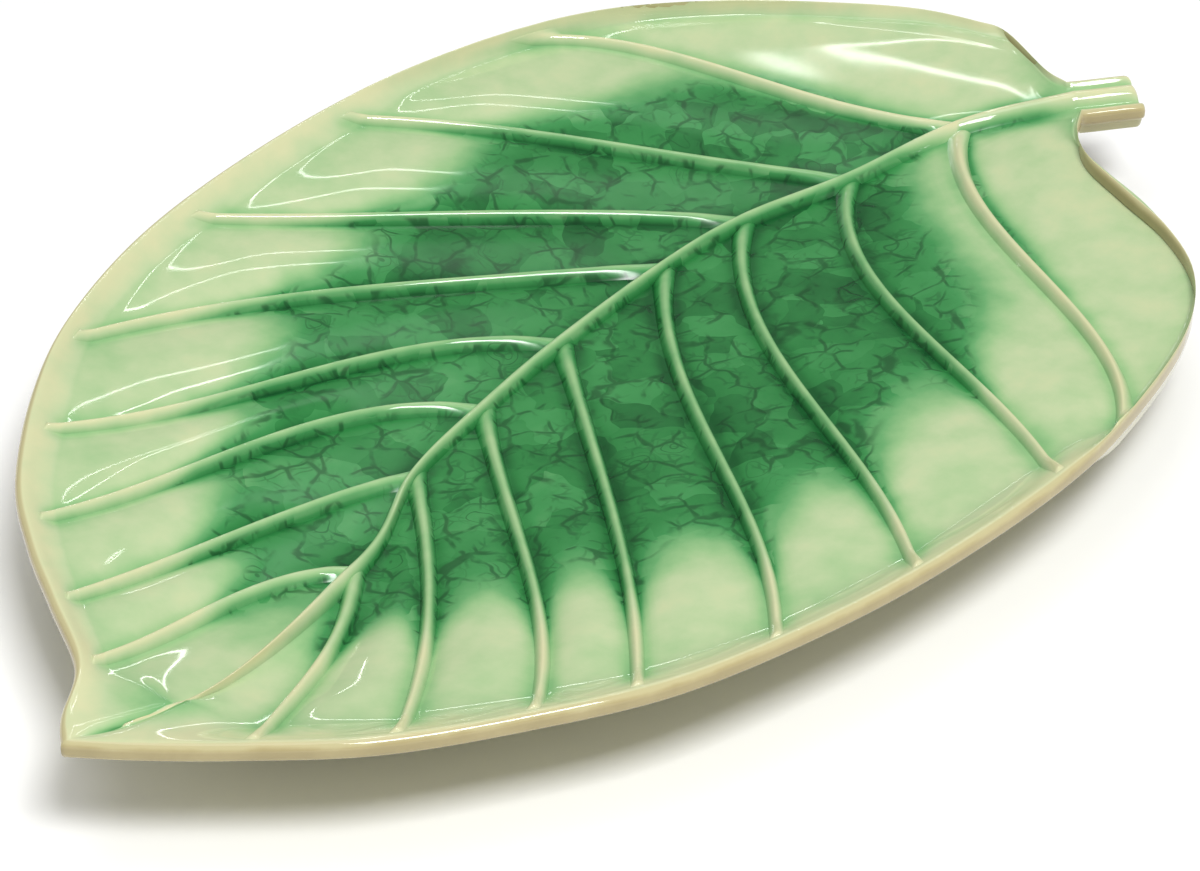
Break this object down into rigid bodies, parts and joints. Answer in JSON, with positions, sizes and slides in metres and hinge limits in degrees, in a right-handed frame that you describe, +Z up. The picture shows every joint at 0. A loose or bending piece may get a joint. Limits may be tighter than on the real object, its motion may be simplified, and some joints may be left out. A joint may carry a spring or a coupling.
{
  "type": "leaf shaped plate",
  "caption": "Leaf shaped glazed stoneware serving plate with raised veins, turned up rim, pointed tip, short stem and oval foot ring.",
  "frame": {"origin": "centre of the bounding box in plan, on the surface that the plate stands on", "axes": "+X along the leaf from its tip towards its stem, +Y towards the lobe on the left of the stem, +Z up"},
  "size_m": [0.282, 0.1816, 0.0235],
  "materials": {
    "stoneware": "stoneware under clear pale green gloss glaze, tan where the glaze is thin",
    "bare_clay": "matt unglazed stoneware on the foot ring",
    "vein_glaze": "cream gloss glaze, thin over the raised veins",
    "green_glaze": "deep green crackle glaze, glossy",
    "pale_glaze": "pale green celadon glaze, glossy"
  },
  "bodies": {
    "root": {"clay_body": "stoneware", "foot_ring": "bare_clay", "midrib": "vein_glaze", "side_vein_left_1": "vein_glaze", "side_vein_left_2": "vein_glaze", "side_vein_left_3": "vein_glaze", "side_vein_left_4": "vein_glaze", "side_vein_left_5": "vein_glaze", "side_vein_left_6": "vein_glaze", "side_vein_left_7": "vein_glaze", "side_vein_left_8": "vein_glaze", "side_vein_right_1": "vein_glaze", "side_vein_right_2": "vein_glaze", "side_vein_right_3": "vein_glaze", "side_vein_right_4": "vein_glaze", "side_vein_right_5": "vein_glaze", "side_vein_right_6": "vein_glaze", "side_vein_right_7": "vein_glaze", "side_vein_right_8": "vein_glaze", "green_glaze_left": "green_glaze", "green_glaze_right": "green_glaze", "pale_glaze_left": "pale_glaze", "pale_glaze_right": "pale_glaze"}
  },
  "joints": []
}
